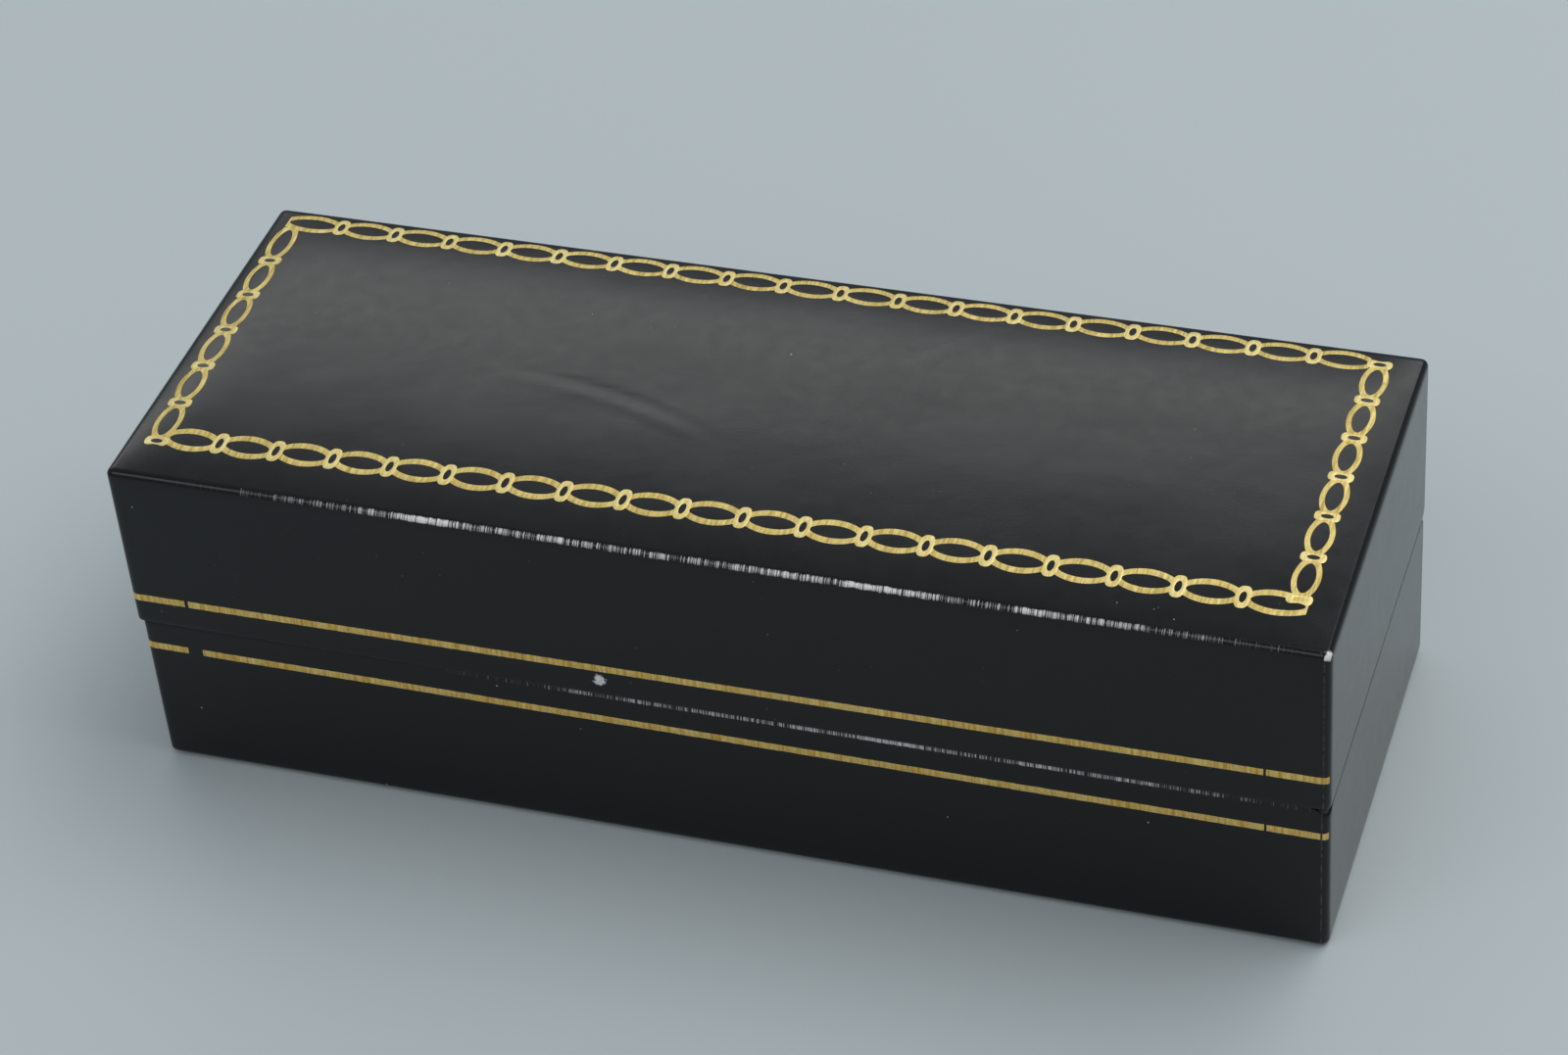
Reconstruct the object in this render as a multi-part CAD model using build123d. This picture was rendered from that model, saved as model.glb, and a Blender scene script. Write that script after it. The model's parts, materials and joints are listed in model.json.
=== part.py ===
from build123d import *
import os
from math import atan2, cos, degrees, hypot, radians, tan

# Hinged jewelry gift box, closed. Sizes are in millimetres. X runs along the box, the front is -Y,
# the hinged back is +Y, and Z = 0 is the underside. The origin is the middle of the underside.

# Whole box
length = 152.4            # over the lid's ends
width = 56.5              # over the lid's front and back
height = 47.6             # to the top of the foil on the padded lid
seam = 22.8               # height of the joint between base and lid, and of the hinge line
rim_gap = 0.2             # clearance between the two closed rims
lid_overhang = 0.3        # the lid stands this far past the base at the front and the ends
corner = 1.0              # rounding of the upright corners
bottom_round = 0.8        # rounding of the base's lower edges
top_round = 0.5           # rounding of the lid's upper edges

# Layers of the walls, from outside to inside
paper = 0.3               # leatherette paper
wall = 2.0                # moulded shell
lining = 0.8              # card strip faced with cloth
turn_in = 8.0             # how far the paper folds over the rim and under the floor
sheet = 0.3               # flocked sheet under the base
sheet_margin = 1.2
lining_drop = 0.7         # the linings stop this far short of the rims
lid_foam_thickness = 1.0

# Insert of the base
insert_gap = 0.7          # room between the insert and the linings
insert_board_top = 11.0
card = 1.2
insert_foam_thickness = 4.0
velvet = 0.8
strap_width = 8.0
strap_thickness = 0.6
strap_x = 34.0            # from the middle to each strap
strap_span = 36.0         # between the two slits that hold a strap
slit_depth = 3.0
tab_width = 7.0
tab_thickness = 0.4
tab_reach = 11.0          # the ribbon's length on top of the velvet
tab_tail = 5.0            # and down the end of the insert

# Pad inside the lid
pad_gap = 0.3
pad_foam_thickness = 4.0
satin = 0.5

# Gold foil
foil = 0.1
line_width = 0.9
line_end = 1.0            # the lines stop where the corners start to turn
lid_line = (4.0, 4.7)     # height of the lid's line over the seam, at its left and right ends
base_line = (4.1, 4.55)   # depth of the base's line under the seam, at its left and right ends
link_pitch = 7.55
link_width = 4.2
link_stroke = 0.85
knot_length = 1.9         # a knot is an upright ring between two links
knot_width = 4.3
knot_hole_length = 0.55
knot_hole_width = 2.4
border_left = 3.7         # from the lid's edges to the middle of the chain
border_right = 5.8
border_front = 6.0
border_back = 3.05
border_drift = 1.3        # the front run climbs this much towards the right

# Snap hinges
open_angle = 100.0
relief_clearance = 0.5    # degrees kept between the two relief faces when the lid is fully open
hinge_x = 45.0            # from the middle to each hinge
leaf = 0.4                # sheet steel
leaf_half_width = 11.0
leaf_start = 1.4          # the plate starts this far from the hinge line
leaf_end = 8.4
knuckle_radius = 0.95
bore_radius = 0.55
pin_radius = 0.5
outer_knuckle = (8.1, 11.0)
inner_knuckle = (5.0, 7.95)
pin_span = (5.2, 10.8)
knuckle_room = 0.25       # clearance round the knuckles and beside the leaves
rivet_x = 8.5
rivet_z = 6.6
rivet_radius = 0.6
rivet_head_radius = 1.1
rivet_head = 0.35
rivet_depth = 1.4         # into the wall
lug_half_width = 2.9
lug_z = 4.7
lug_reach = 1.9           # the lug's length out of the plate
lug_lip = 0.5
spring_half_width = 2.5
spring_thickness = 0.25
spring_stand = 0.85       # from the plate to the ends of the spring
spring_bow = 0.55
spring_clearance = 0.1

# Worked out from the sizes above
CORNER = (Align.MIN, Align.MIN, Align.MIN)
BASE, LID = -1, 1         # which way a half lies from the seam
base_rim = seam - rim_gap / 2
lid_rim = seam + rim_gap / 2
cover_top = height - foil
shell_top = cover_top - paper - lid_foam_thickness
lid_ceiling = shell_top - wall
base_floor = sheet + paper + wall
lined = paper + wall + paper + lining
axis_y = width / 2 - paper - wall - leaf + knuckle_radius
leaf_face = axis_y - knuckle_radius
relief_angle = open_angle / 2 + relief_clearance


def inset(rect, distance):
    """A rectangle x0, x1, y0, y1 drawn in by a distance on every side."""
    x0, x1, y0, y1 = rect
    return (x0 + distance, x1 - distance, y0 + distance, y1 - distance)


lid_rect = (-length / 2, length / 2, -width / 2, width / 2)
base_rect = (-length / 2 + lid_overhang, length / 2 - lid_overhang, -width / 2 + lid_overhang, width / 2)
insert_rect = inset(base_rect, lined + insert_gap)
pad_rect = inset(lid_rect, lined + pad_gap)


def slab(xs, ys, zs):
    """Square-cornered block between pairs of coordinates."""
    (x0, x1), (y0, y1), (z0, z1) = sorted(xs), sorted(ys), sorted(zs)
    return Pos(x0, y0, z0) * Box(x1 - x0, y1 - y0, z1 - z0, align=CORNER)


def block(rect, low, high, upright=0.0, level=0.0, level_at=None):
    """Block over a rectangle, with rounded upright edges and one rounded end face."""
    x0, x1, y0, y1 = rect
    solid = slab((x0, x1), (y0, y1), (low, high))
    if upright:
        solid = fillet(solid.edges().filter_by(Axis.Z), upright)
    if level:
        ring = solid.edges().filter_by_position(Axis.Z, level_at - 0.01, level_at + 0.01)
        solid = fillet(ring, level)
    return solid


def prism(outline, x0, x1):
    """Solid with a closed outline of lines and arcs, drawn as (y, z), between two values of x."""
    face = Plane.YZ * make_face(outline)
    return Pos(x0, 0, 0) * extrude(face, amount=x1 - x0)


def rod(radius, x0, x1):
    """Round bar on the hinge line."""
    return Pos((x0 + x1) / 2, axis_y, seam) * Rot(0, 90, 0) * Cylinder(radius, x1 - x0)


def relief(side, skin=0.0):
    """Wedge behind the hinge line that lets the lid swing back, set deeper by a skin."""
    reach = 2 * width
    slope = tan(radians(relief_angle))
    shift = skin / cos(radians(relief_angle))
    near = (axis_y - reach, seam + side * (shift - reach * slope))
    far = (axis_y + reach, seam + side * (shift + reach * slope))
    outline = Polyline(near, far, (far[0], near[1]), close=True)
    return prism(outline, -length, length)


def hinge_pocket(side, centre):
    """Space cut from the linings and the turned-in paper round one hinge leaf and its knuckles."""
    half = leaf_half_width + knuckle_room
    depth = leaf_end + knuckle_room
    ys = (axis_y - 2 * lined, leaf_face + leaf)
    room = slab((centre - half, centre + half), ys, (seam, seam + side * depth))
    return room + rod(knuckle_radius + knuckle_room, centre - half, centre + half)


def with_pockets(solid, side):
    """Cut the pockets of both hinges."""
    for centre in (-hinge_x, hinge_x):
        solid -= hinge_pocket(side, centre)
    return solid


# Shells and their outer skins

def base_shell():
    """Moulded tray with its knuckle grooves and rivet holes."""
    rect = inset(base_rect, paper)
    bottom = sheet + paper
    outer = block(rect, bottom, base_rim - paper, corner - paper, bottom_round - paper, bottom)
    hollow = block(inset(rect, wall), base_floor, seam)
    solid = outer - hollow - relief(BASE, paper)
    for centre in (-hinge_x, hinge_x):
        half = leaf_half_width + knuckle_room
        solid -= rod(knuckle_radius + knuckle_room, centre - half, centre + half)
        solid -= rivet_holes(BASE, centre)
    return solid


def lid_shell():
    """Moulded lid with its knuckle grooves and rivet holes."""
    rect = inset(lid_rect, paper)
    outer = block(rect, lid_rim + paper, shell_top, corner - paper)
    hollow = block(inset(rect, wall), seam, lid_ceiling)
    solid = outer - hollow - relief(LID, paper)
    for centre in (-hinge_x, hinge_x):
        half = leaf_half_width + knuckle_room
        solid -= rod(knuckle_radius + knuckle_room, centre - half, centre + half)
        solid -= rivet_holes(LID, centre)
    return solid


def lid_foam():
    """Foam sheet between the lid's shell and its paper."""
    rect = inset(lid_rect, paper)
    return block(rect, shell_top, cover_top - paper, corner - paper, top_round - paper, cover_top - paper)


def base_cover():
    """Paper round the walls, folded over the rim and under the floor."""
    outer = block(base_rect, sheet, base_rim, corner, bottom_round, sheet) - relief(BASE)
    rect = inset(base_rect, paper)
    bottom = sheet + paper
    core = block(rect, bottom, base_rim - paper, corner - paper, bottom_round - paper, bottom)
    solid = outer - (core - relief(BASE, paper))
    solid += block(inset(rect, wall), base_rim - turn_in, base_rim)
    solid -= block(inset(rect, wall + paper), base_rim - 2 * turn_in, base_rim + 1)
    solid -= block(inset(base_rect, turn_in), 0, bottom)
    return with_pockets(solid - base_gold_line(), BASE)


def lid_cover():
    """Paper over the padded top and the walls, folded over the rim."""
    outer = block(lid_rect, lid_rim, cover_top, corner, top_round, cover_top) - relief(LID)
    rect = inset(lid_rect, paper)
    top = cover_top - paper
    core = block(rect, lid_rim + paper, top, corner - paper, top_round - paper, top)
    solid = outer - (core - relief(LID, paper))
    solid += block(inset(rect, wall), lid_rim, lid_rim + turn_in)
    solid -= block(inset(rect, wall + paper), lid_rim - 1, lid_rim + 2 * turn_in)
    return with_pockets(solid - lid_gold_line(), LID)


def base_underside():
    """Flocked sheet that the box stands on."""
    return block(inset(base_rect, sheet_margin), 0, sheet, corner)


# Gold foil

def foil_line(face_y, end_x, left_z, right_z):
    """Ruled line pressed level with a front face."""
    half = line_width / 2
    outline = Polyline((-end_x, left_z - half), (end_x, right_z - half), (end_x, right_z + half),
                       (-end_x, left_z + half), close=True)
    return extrude(Plane.XZ.offset(-face_y - foil) * make_face(outline), amount=foil)


def lid_gold_line():
    return foil_line(-width / 2, length / 2 - line_end, seam + lid_line[0], seam + lid_line[1])


def base_gold_line():
    end_x = length / 2 - lid_overhang - line_end
    return foil_line(-width / 2 + lid_overhang, end_x, seam - base_line[0], seam - base_line[1])


def lens(half_length, half_width):
    """Pointed oval of two arcs, its long axis along X."""
    left, right = (-half_length, 0), (half_length, 0)
    upper = ThreePointArc(left, (0, half_width), right)
    lower = ThreePointArc(right, (0, -half_width), left)
    return make_face([upper, lower])


def chain_run(start, end, first_knot, last_knot):
    """Links, knots and knot holes of one straight run of the chain border."""
    run = hypot(end[0] - start[0], end[1] - start[1])
    count = max(1, round(run / link_pitch))
    pitch = run / count
    turn = Rot(0, 0, degrees(atan2(end[1] - start[1], end[0] - start[0])))
    link = lens(pitch / 2, link_width / 2)
    link -= lens(pitch / 2 - 1.2 * link_stroke, link_width / 2 - link_stroke)

    def placed(shape, share):
        x = start[0] + (end[0] - start[0]) * share
        y = start[1] + (end[1] - start[1]) * share
        return Pos(x, y) * turn * shape

    links = [placed(link, (i + 0.5) / count) for i in range(count)]
    places = range(0 if first_knot else 1, count + 1 if last_knot else count)
    knot = Ellipse(knot_length / 2, knot_width / 2)
    hole = Ellipse(knot_hole_length / 2, knot_hole_width / 2)
    knots = [placed(knot, i / count) for i in places]
    holes = [placed(hole, i / count) for i in places]
    return links, knots, holes


def lid_gold_border():
    """Chain of pointed links and ring knots round the top of the lid."""
    left, right = -length / 2 + border_left, length / 2 - border_right
    front, back = -width / 2 + border_front, width / 2 - border_back
    half = link_width / 2
    runs = [
        chain_run((left + half / 2, front), (right + half / 2, front + border_drift), False, False),
        chain_run((right, front + border_drift + half / 2), (right, back), True, True),
        chain_run((right - half / 4, back), (left - half / 2, back), False, False),
        chain_run((left, front), (left, back - half / 2), True, False),
    ]
    links = [shape for run in runs for shape in run[0]]
    knots = [shape for run in runs for shape in run[1]]
    holes = [shape for run in runs for shape in run[2]]
    pattern = Sketch() + links + knots - holes
    return Pos(0, 0, cover_top) * extrude(pattern, amount=foil)


# Linings

def lining_panels(rect, low, high, side):
    """Card strips on the four walls; the long ones run right into the corners."""
    x0, x1, y0, y1 = inset(rect, paper + wall + paper)
    panels = {
        "front": slab((x0, x1), (y0, y0 + lining), (low, high)),
        "back": with_pockets(slab((x0, x1), (y1 - lining, y1), (low, high)), side),
        "left": slab((x0, x0 + lining), (y0 + lining, y1 - lining), (low, high)),
        "right": slab((x1 - lining, x1), (y0 + lining, y1 - lining), (low, high)),
    }
    return panels


# Insert of the base

def insert_board():
    """Card platform on turned-down sides."""
    solid = block(insert_rect, base_floor, insert_board_top)
    return solid - block(inset(insert_rect, card), base_floor, insert_board_top - card)


def strap(centre):
    """Elastic band flat on the velvet, its ends tucked into two slits."""
    velvet_top = insert_board_top + insert_foam_thickness + velvet
    half, span = strap_width / 2, strap_span / 2
    xs = (centre - half, centre + half)
    solid = slab(xs, (-span, span), (velvet_top, velvet_top + strap_thickness))
    for end in (-1, 1):
        solid += slab(xs, (end * span, end * (span - strap_thickness)), (velvet_top - slit_depth, velvet_top))
    return solid


def insert_foam():
    rect = inset(insert_rect, velvet)
    top = insert_board_top + insert_foam_thickness
    return block(rect, insert_board_top, top) - strap(-strap_x) - strap(strap_x)


def insert_velvet():
    top = insert_board_top + insert_foam_thickness
    outer = block(insert_rect, insert_board_top, top + velvet)
    solid = outer - block(inset(insert_rect, velvet), insert_board_top, top)
    return solid - strap(-strap_x) - strap(strap_x)


def insert_ribbon_tab():
    """Ribbon pull that comes up beside the right end of the insert and lies on the velvet."""
    velvet_top = insert_board_top + insert_foam_thickness + velvet
    end = insert_rect[1]
    ys = (-tab_width / 2, tab_width / 2)
    solid = slab((end - tab_reach, end + tab_thickness), ys, (velvet_top, velvet_top + tab_thickness))
    return solid + slab((end, end + tab_thickness), ys, (velvet_top - tab_tail, velvet_top))


# Pad inside the lid

def lid_pad_board():
    return block(pad_rect, lid_ceiling - card, lid_ceiling)


def lid_pad_foam():
    top = lid_ceiling - card
    return block(inset(pad_rect, satin), top - pad_foam_thickness, top)


def lid_pad_satin():
    top = lid_ceiling - card
    return block(pad_rect, top - pad_foam_thickness - satin, top) - lid_pad_foam()


# Snap hinges

def rivet_places(centre):
    return centre - rivet_x, centre + rivet_x


def cross_rod(radius, x, side, y0, y1):
    """Round bar through the back wall at a rivet's height."""
    return Pos(x, (y0 + y1) / 2, seam + side * rivet_z) * Rot(90, 0, 0) * Cylinder(radius, y1 - y0)


def rivet_holes(side, centre):
    """Blind holes in the shell's back wall."""
    start = leaf_face + leaf
    return [cross_rod(rivet_radius, x, side, start, start + rivet_depth) for x in rivet_places(centre)]


def rivets(side):
    """Headed drive rivets that hold the leaves of one half."""
    solids = []
    for centre in (-hinge_x, hinge_x):
        for x in rivet_places(centre):
            head = cross_rod(rivet_head_radius, x, side, leaf_face - rivet_head, leaf_face)
            shank = cross_rod(rivet_radius, x, side, leaf_face, leaf_face + leaf + rivet_depth)
            solids.append(head + shank)
    return Compound(solids)


def hinge_leaf(side, centre, knuckle):
    """Steel plate with two curled knuckles and a lug that holds one end of the spring."""
    ys = (leaf_face, leaf_face + leaf)
    xs = (centre - leaf_half_width, centre + leaf_half_width)
    solid = slab(xs, ys, (seam + side * leaf_start, seam + side * leaf_end))
    for end in (-1, 1):
        near, far = sorted((centre + end * knuckle[0], centre + end * knuckle[1]))
        neck = slab((near, far), ys, (seam, seam + side * leaf_start))
        solid += neck + rod(knuckle_radius, near, far)
        solid -= rod(bore_radius, near - 1, far + 1)
    for x in rivet_places(centre):
        solid -= cross_rod(rivet_radius, x, side, leaf_face - 1, leaf_face + leaf + 1)
    lug_xs = (centre - lug_half_width, centre + lug_half_width)
    tip = leaf_face - lug_reach
    solid += slab(lug_xs, (tip, leaf_face), (seam + side * lug_z, seam + side * (lug_z + leaf)))
    solid += slab(lug_xs, (tip, tip + leaf), (seam + side * (lug_z - lug_lip), seam + side * lug_z))
    return solid


def hinge_pins(centre):
    """Two short pins, one through each pair of knuckles, with the space between left to the spring."""
    near, far = pin_span
    left = rod(pin_radius, centre - far, centre - near)
    right = rod(pin_radius, centre + near, centre + far)
    return Compound([left, right])


def hinge_spring(centre):
    """Bowed leaf spring between the two lugs."""
    reach = lug_z - spring_clearance
    end_y = leaf_face - spring_stand
    back = ThreePointArc((end_y, seam - reach), (end_y - spring_bow, seam), (end_y, seam + reach))
    front_y = end_y - spring_thickness
    front = ThreePointArc((front_y, seam + reach), (front_y - spring_bow, seam), (front_y, seam - reach))
    outline = [back, Line(back @ 1, front @ 0), front, Line(front @ 1, back @ 0)]
    return prism(outline, centre - spring_half_width, centre + spring_half_width)


def build_nodes():
    nodes = {
        "base_shell": base_shell(),
        "base_cover": base_cover(),
        "base_underside": base_underside(),
        "base_gold_line": base_gold_line(),
        "insert_board": insert_board(),
        "insert_foam": insert_foam(),
        "insert_velvet": insert_velvet(),
        "insert_strap_left": strap(-strap_x),
        "insert_strap_right": strap(strap_x),
        "insert_ribbon_tab": insert_ribbon_tab(),
        "lid_shell": lid_shell(),
        "lid_foam": lid_foam(),
        "lid_cover": lid_cover(),
        "lid_gold_line": lid_gold_line(),
        "lid_gold_border": lid_gold_border(),
        "lid_pad_board": lid_pad_board(),
        "lid_pad_foam": lid_pad_foam(),
        "lid_pad_satin": lid_pad_satin(),
        "hinge_rivets_base": rivets(BASE),
        "hinge_rivets_lid": rivets(LID),
    }
    for name, panel in lining_panels(base_rect, base_floor, base_rim - lining_drop, BASE).items():
        nodes["base_lining_" + name] = panel
    for name, panel in lining_panels(lid_rect, lid_rim + lining_drop, lid_ceiling, LID).items():
        nodes["lid_lining_" + name] = panel
    for name, centre in (("left", -hinge_x), ("right", hinge_x)):
        nodes["hinge_base_leaf_" + name] = hinge_leaf(BASE, centre, outer_knuckle)
        nodes["hinge_lid_leaf_" + name] = hinge_leaf(LID, centre, inner_knuckle)
        nodes["hinge_pins_" + name] = hinge_pins(centre)
        nodes["hinge_spring_" + name] = hinge_spring(centre)
    return nodes


os.makedirs("parts", exist_ok=True)
for name, solid in build_nodes().items():
    export_step(solid, "parts/" + name + ".step")
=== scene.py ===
"""Looks of a hinged jewelry gift box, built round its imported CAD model. Metres, in the model's own frame."""
import json
import math
import random

import bmesh
import bpy
from mathutils import Matrix, Quaternion, Vector, noise


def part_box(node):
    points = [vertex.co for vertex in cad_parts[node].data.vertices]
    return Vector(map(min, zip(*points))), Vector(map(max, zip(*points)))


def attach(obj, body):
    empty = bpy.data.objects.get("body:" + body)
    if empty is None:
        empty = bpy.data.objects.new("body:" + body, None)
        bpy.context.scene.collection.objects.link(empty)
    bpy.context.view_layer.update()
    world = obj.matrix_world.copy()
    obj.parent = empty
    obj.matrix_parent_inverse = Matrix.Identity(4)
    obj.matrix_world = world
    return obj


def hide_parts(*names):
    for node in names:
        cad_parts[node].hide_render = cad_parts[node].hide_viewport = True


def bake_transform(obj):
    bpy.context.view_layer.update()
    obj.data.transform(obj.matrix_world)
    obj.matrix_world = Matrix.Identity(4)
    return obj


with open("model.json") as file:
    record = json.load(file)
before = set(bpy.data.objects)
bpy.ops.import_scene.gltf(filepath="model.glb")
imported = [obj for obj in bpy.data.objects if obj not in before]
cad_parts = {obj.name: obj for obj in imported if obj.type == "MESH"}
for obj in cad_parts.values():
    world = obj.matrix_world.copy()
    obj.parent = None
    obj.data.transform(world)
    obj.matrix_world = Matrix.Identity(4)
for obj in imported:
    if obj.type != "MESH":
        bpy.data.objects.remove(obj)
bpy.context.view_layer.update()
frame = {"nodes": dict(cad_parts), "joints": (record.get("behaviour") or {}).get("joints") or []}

MM = 0.001

# Places read from the model
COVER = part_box("lid_cover")
BASE_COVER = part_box("base_cover")
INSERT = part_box("insert_velvet")
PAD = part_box("lid_pad_satin")
STRAP_BOXES = [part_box("insert_strap_" + s) for s in ("left", "right")]
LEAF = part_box("hinge_base_leaf_left")
HINGE_XS = [sum(c.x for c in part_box("hinge_base_leaf_" + s)) / 2 for s in ("left", "right")]
hinge = next(j for j in frame["joints"] if j["name"] == "lid_hinge")
AXIS_Y, SEAM = hinge["pos_m"][1], hinge["pos_m"][2]
RELIEF = math.radians(max(hinge["range_deg"]) / 2 + 0.5)
LEAF_END = SEAM - LEAF[0].z

# Sizes as in the model
PAPER = 0.3 * MM
WALL = 2.0 * MM
TURN_IN = 8.0 * MM
PAPER_INSIDE = 2 * PAPER + WALL
CROWN = 0.6 * MM            # how far the padding raises the lid's top over its edges
CORNER = 1.0 * MM           # rounding of the papers' upright corners
EDGE_ROUND = 0.8 * MM       # and of the edges round their closed faces
CLOSING = 0.1 * MM          # each rim stands this far from the hinge line's height
HINGE_ROOM = 0.25 * MM      # the paper and the linings are cut this far from the hinge leaves
POCKET_HALF = (LEAF[1].x - LEAF[0].x) / 2 + HINGE_ROOM

# Sizes of the look
SKIN = 0.2 * MM             # thickness of the papers
FACE_GAP = 0.04 * MM        # the papers' faces lie this far inside the model's, under the foil
SHIFT = 0.21 * MM           # the lid's right end and the base's left end are drawn in this much more
WAVE = 0.03 * MM            # unevenness of the front faces


# ------------ materials

class Nodes:
    """Builds one material's node tree with short calls."""

    def __init__(self, name):
        self.material = bpy.data.materials.new(name)
        self.material.use_nodes = True
        self.tree = self.material.node_tree
        self.shader = self.tree.nodes["Principled BSDF"]
        self.place = self.add("TexCoord", {}, "Object")

    def put(self, socket, value):
        """Gives a socket another node's output, a number, or a place or colour."""
        if isinstance(value, bpy.types.NodeSocket):
            self.tree.links.new(value, socket)
        elif isinstance(value, tuple) and len(socket.default_value) == 4:
            socket.default_value = (*value, 1)
        else:
            socket.default_value = value

    def add(self, kind, inputs, output, **settings):
        """Adds a node and returns one of its outputs."""
        node = self.tree.nodes.new("ShaderNode" + kind)
        for key, value in settings.items():
            setattr(node, key, value)
        for key, value in inputs.items():
            self.put(node.inputs[key], value)
        return node.outputs[output]

    def feed(self, **values):
        """Fills the shader's own inputs."""
        for key, value in values.items():
            self.put(self.shader.inputs[key.replace("_", " ")], value)

    def axes(self):
        return [self.add("SeparateXYZ", {"Vector": self.place}, name) for name in "XYZ"]

    def noise(self, scale, detail=4.0, roughness=0.55, distortion=0.0):
        """Noise from 0 to 1; scale is one number, or one for each axis."""
        place = self.place
        if isinstance(scale, tuple):
            place = self.add("Mapping", {"Vector": place, "Scale": scale}, "Vector")
            scale = 1.0
        return self.add("TexNoise", {"Vector": place, "Scale": scale, "Detail": detail,
                                     "Roughness": roughness, "Distortion": distortion}, "Fac")

    def voronoi(self, scale):
        return self.add("TexVoronoi", {"Vector": self.place, "Scale": scale}, "Distance")

    def remap(self, value, low, high, to_low=0.0, to_high=1.0):
        return self.add("MapRange", {"Value": value, "From Min": low, "From Max": high,
                                     "To Min": to_low, "To Max": to_high}, "Result")

    def math(self, operation, *values):
        return self.add("Math", dict(enumerate(values)), "Value", operation=operation)

    def times(self, first, second):
        return self.math("MULTIPLY", first, second)

    def plus(self, first, second):
        return self.math("ADD", first, second)

    def mixed(self, first, second, share=0.5):
        """The first value with a share of the second."""
        return self.plus(self.times(first, 1 - share), self.times(second, share))

    def blend(self, share, first, second):
        """One colour blended into another by a share."""
        return self.add("Mix", {0: share, 6: first, 7: second}, 2, data_type="RGBA")

    def bump(self, height, distance, strength, **before):
        """Relief of a height; before is Normal with the relief it adds to, if any."""
        return self.add("Bump", {"Height": height, "Distance": distance, "Strength": strength, **before},
                        "Normal")


def near(n, value, centre, reach):
    """1 at a coordinate, falling to 0 a reach away from it."""
    away = n.math("ABSOLUTE", n.math("SUBTRACT", value, centre))
    return n.remap(away, 0.0, reach, 1.0, 0.0)


def spot(n, centre, radius):
    """1 at a point, falling to 0 a radius away from it."""
    away = n.add("VectorMath", {0: n.place, 1: centre}, "Value", operation="DISTANCE")
    return n.remap(away, 0.0, radius, 1.0, 0.0)


def edge_glint_and_wear(n, ragged, edge):
    """Share of pale colour along an edge, in short upright ticks that come in patches: a painted glint on the
    rounded edge, partly real wear.
    """
    x, y, z = n.axes()
    edge_y, edge_z, first, last, share = edge
    ticks = n.noise((6500.0, 50.0, 50.0), 2.0, 0.85)
    patches = n.noise((70.0, 1.0, 1.0), 3.0, 0.6)
    band = n.times(near(n, y, edge_y, 1.0 * MM), near(n, z, edge_z, 1.0 * MM))
    band = n.remap(n.plus(band, n.times(ragged, 0.35)), 0.53, 0.68)
    span = n.remap(near(n, x, (first + last) / 2, (last - first) / 2), 0.0, 0.45)
    often = n.plus(n.times(patches, 0.8), n.times(span, 0.12))
    lines = n.remap(n.plus(ticks, often), 0.98, 1.12)
    return n.times(n.times(band, lines), n.times(span, share))


def leatherette(name, edge, scuffs, lap):
    """Black lacquered paper with a fine leather grain, a little lint and painted light along its edges.
    edge is the line along X of a painted glint, partly real wear, as (y, z, first x, last x, share of glint
    and wear), scuffs are bare spots as (place, radius), and lap is the place of a painted highlight on the
    paper's upright lap line as (x, y)."""
    n = Nodes(name)
    x, y, z = n.axes()
    cells = n.voronoi(3000.0)
    fine = n.noise(6500.0, 3.0, 0.6)
    swell = n.noise(60.0, 3.0, 0.45)
    normal = n.bump(n.mixed(cells, fine), 0.02 * MM, 0.22)
    n.feed(Normal=n.bump(swell, 0.8 * MM, 0.10, Normal=normal))
    ragged = n.noise(1500.0, 2.0, 0.6)
    # Pale ticks along the edge: a painted glint, partly real wear.
    wear_and_glint = edge_glint_and_wear(n, ragged, edge)
    for centre, radius in scuffs:
        bare = n.plus(spot(n, centre, radius), n.times(ragged, 1.6))
        wear_and_glint = n.math("MAXIMUM", wear_and_glint, n.remap(bare, 1.22, 1.50))
    # Faint pale line on the paper's upright lap: a painted highlight.
    line = n.times(near(n, x, lap[0], 0.12 * MM), near(n, y, lap[1], 0.6 * MM))
    wear_and_glint = n.math("MAXIMUM", wear_and_glint, n.times(line, n.remap(ragged, 0.40, 0.65, 0.0, 0.10)))
    lint = n.remap(n.voronoi(150.0), 0.012, 0.022, 0.45, 0.0)
    wear_and_glint = n.math("MAXIMUM", wear_and_glint, lint)
    tone = n.remap(n.noise(260.0, 3.0, 0.6), 0.3, 0.7)
    black = n.blend(tone, (0.0014, 0.0015, 0.0019), (0.0020, 0.0021, 0.0026))
    # The pale colour here is painted glint and highlight, together with real wear, scuffs and lint.
    n.feed(Base_Color=n.blend(wear_and_glint, black, (0.80, 0.76, 0.75)))
    n.feed(Roughness=n.remap(n.noise(420.0, 4.0, 0.6), 0.3, 0.7, 0.165, 0.20))
    n.feed(IOR=1.41)
    return n.material


def gold_foil(name, dark, light, bare_share=0.7):
    """Stamped foil that takes the paper's grain, with fine upright lines and a few bare specks."""
    n = Nodes(name)
    across = n.noise((2300.0, 150.0, 150.0), 3.0, 0.75)
    grain = n.noise(5200.0, 3.0, 0.6)
    patch = n.noise(260.0, 3.0, 0.6)
    bare = n.times(n.remap(across, 0.56, 0.68), n.remap(patch, 0.42, 0.58))
    share = n.mixed(grain, across, 0.75)
    tone = n.blend(n.remap(share, 0.38, 0.62), dark, light)
    n.feed(Base_Color=n.blend(n.times(bare, bare_share), tone, (0.10, 0.07, 0.03)))
    n.feed(Roughness=n.remap(patch, 0.3, 0.7, 0.34, 0.50))
    n.feed(Metallic=0.8)
    normal = n.bump(n.plus(across, grain), 0.00003, 0.5)
    n.feed(Normal=normal)
    return n.material


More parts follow.
